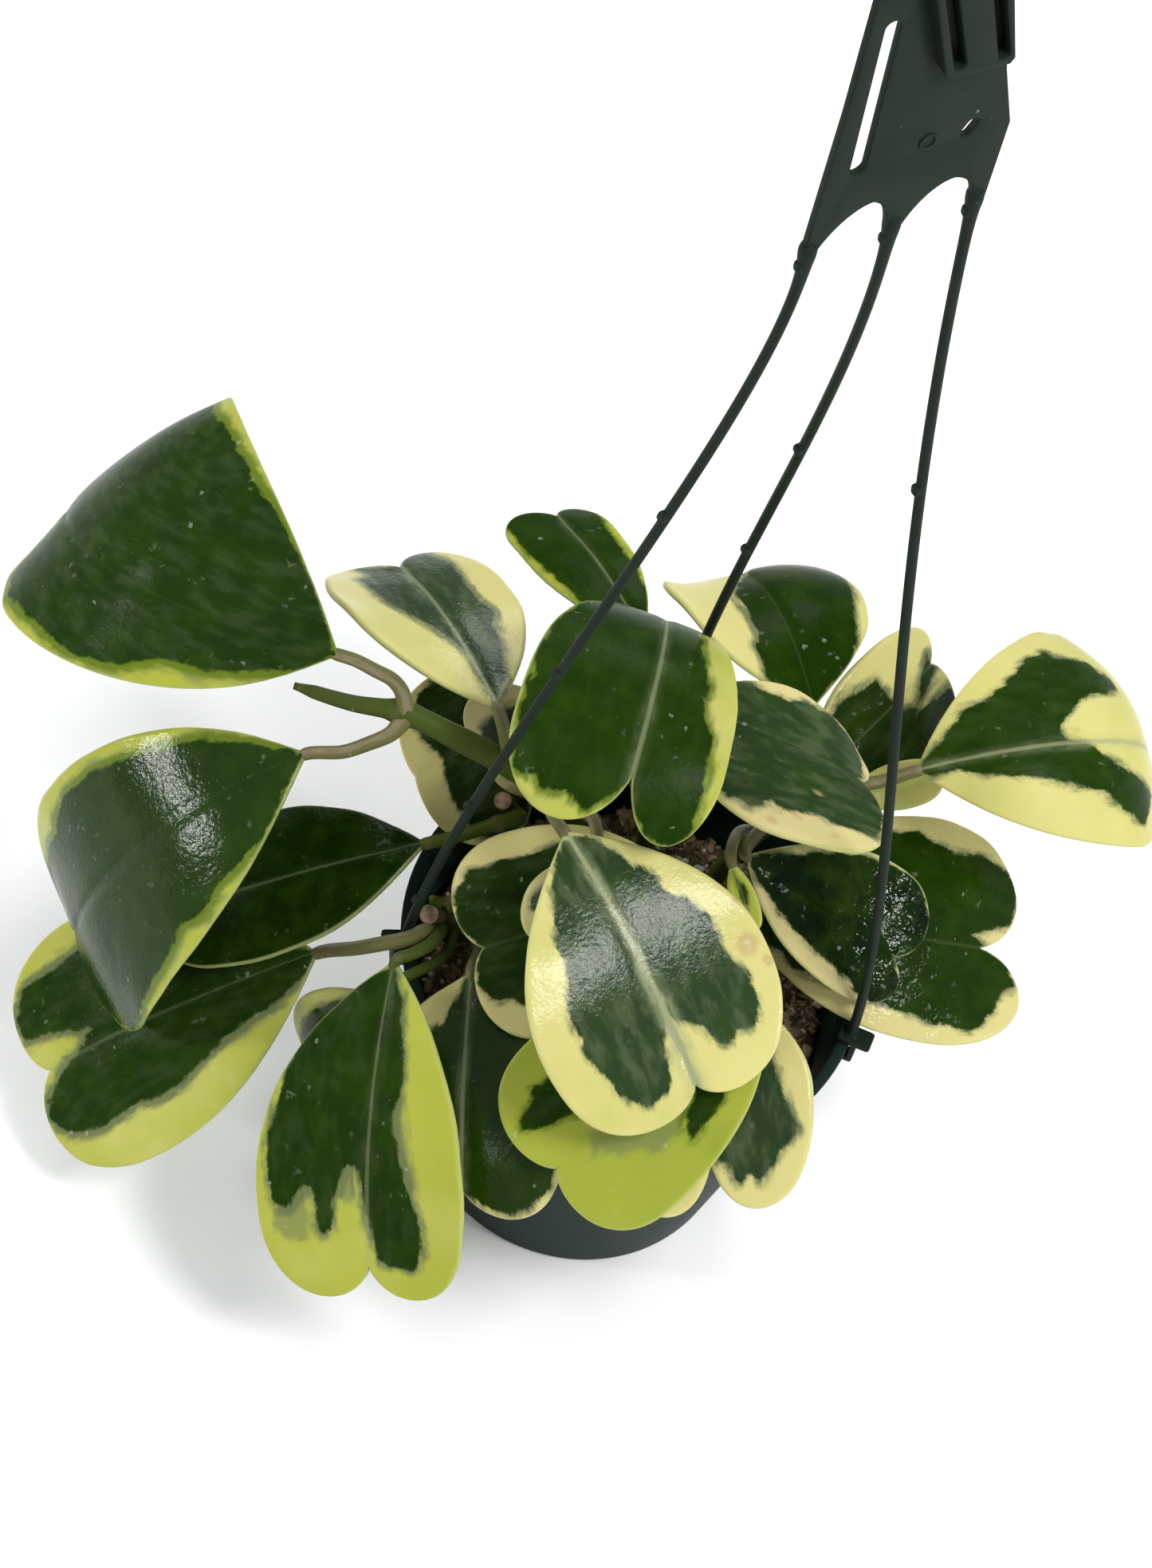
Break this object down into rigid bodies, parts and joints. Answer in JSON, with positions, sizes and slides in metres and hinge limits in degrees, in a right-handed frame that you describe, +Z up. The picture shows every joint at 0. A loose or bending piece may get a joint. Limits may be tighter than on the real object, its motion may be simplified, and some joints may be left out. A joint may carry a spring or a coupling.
{
  "type": "potted variegated sweetheart hoya",
  "caption": "Trailing plant with thick heart-shaped green leaves edged in cream and lime, in a dark green plastic pot on a wire-thin plastic hanger with a hook.",
  "frame": {"origin": "centre of the pot's underside", "axes": "+Z up along the pot's axis to the hook; the plant is seen in the picture from -Y and above; +X to the right"},
  "size_m": [0.2854, 0.194, 0.5294],
  "materials": {
    "pot_plastic": "dark green moulded plastic, satin",
    "hanger_plastic": "dark green flexible plastic, satin",
    "potting_mix": "damp bark and fibre mix, matt",
    "stem": "green to corky brown stem, satin",
    "leaf": "waxy leaf, dark green with cream and lime margins, glossy"
  },
  "bodies": {
    "root": {"pot": "pot_plastic", "soil": "potting_mix", "vine_left": "stem", "vine_back": "stem", "vine_right": "stem", "stem_centre": "stem", "stem_cut": "stem", "stem_left": "stem", "leaf_upper_left": "leaf", "leaf_middle_left": "leaf", "leaf_dark_left": "leaf", "leaf_lower_left": "leaf", "leaf_lower_front": "leaf", "leaf_under_front": "leaf", "leaf_centre": "leaf", "leaf_lime_front": "leaf", "leaf_right_front": "leaf", "leaf_inner_left": "leaf", "leaf_inner_small": "leaf", "leaf_top_centre": "leaf", "leaf_back_left": "leaf", "leaf_behind_stem": "leaf", "leaf_back_dark": "leaf", "leaf_back_right": "leaf", "leaf_right_centre": "leaf", "leaf_right_back": "leaf", "leaf_far_right": "leaf", "leaf_dark_right": "leaf", "leaf_right_under": "leaf", "leaf_right_small": "leaf", "leaf_young": "leaf", "leaf_behind_top": "leaf", "leaf_low_left": "leaf", "hanger_plate": "hanger_plastic", "strand_left": "hanger_plastic", "strand_back": "hanger_plastic", "strand_right": "hanger_plastic"}
  },
  "joints": []
}
